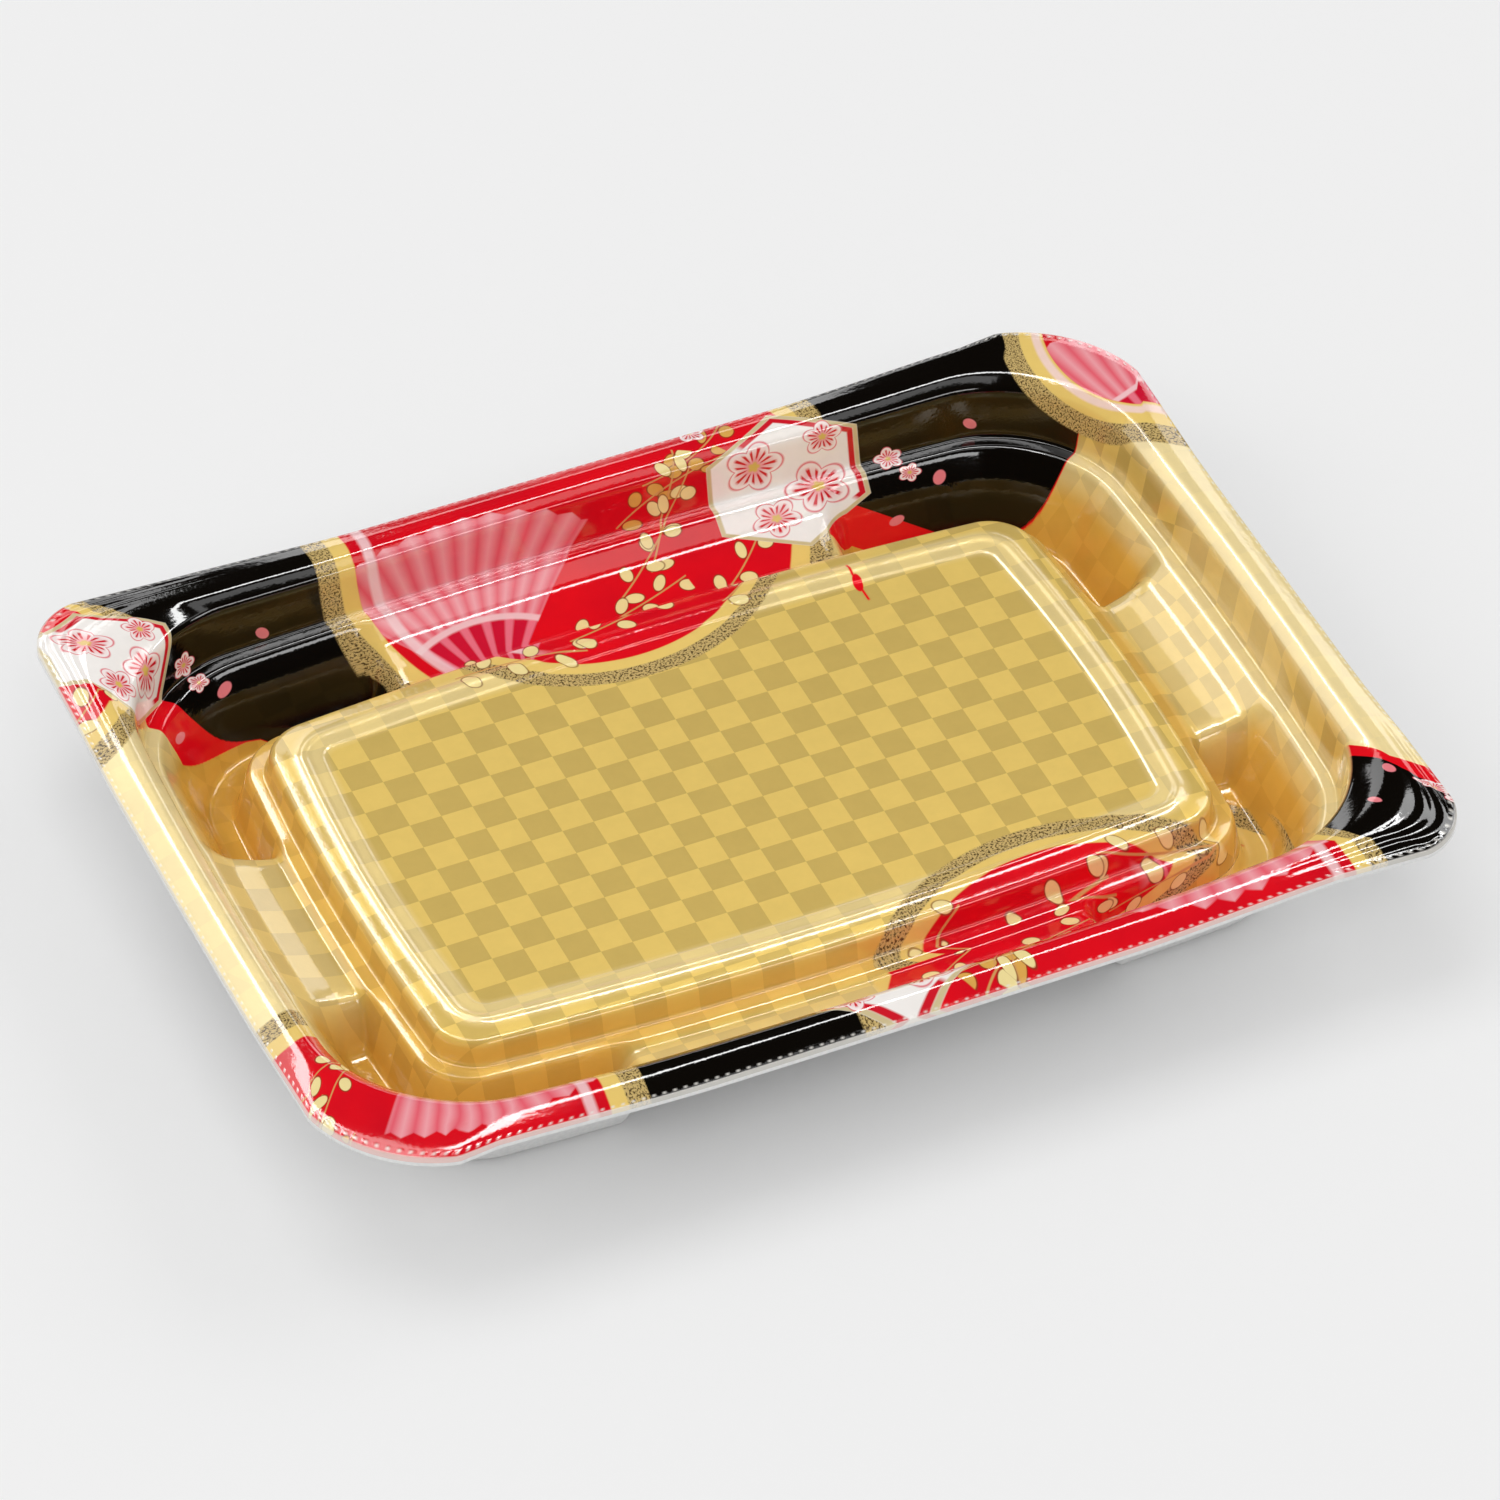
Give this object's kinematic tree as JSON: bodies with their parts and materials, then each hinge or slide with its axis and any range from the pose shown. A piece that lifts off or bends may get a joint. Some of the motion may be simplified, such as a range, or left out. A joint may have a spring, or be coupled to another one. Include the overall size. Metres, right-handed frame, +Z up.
{
  "type": "empty takeaway sushi tray",
  "caption": "Shallow rectangular sushi tray pressed from printed foam sheet, with a raised middle panel in a frame, a moat, corner feet and a rolled rim with cut corners.",
  "frame": {"origin": "middle of the tray, on the plane that its feet stand on", "axes": "+X runs along the tray, +Y across it away from the person who eats from it, +Z up out of the tray"},
  "size_m": [0.2614, 0.1896, 0.0363],
  "materials": {
    "printed_foam": "glossy printed film over foamed sheet: gold checks with red, black, pink and white fields, and a plain white matt foam underside"
  },
  "bodies": {
    "root": {"tray": "printed_foam"}
  },
  "joints": []
}
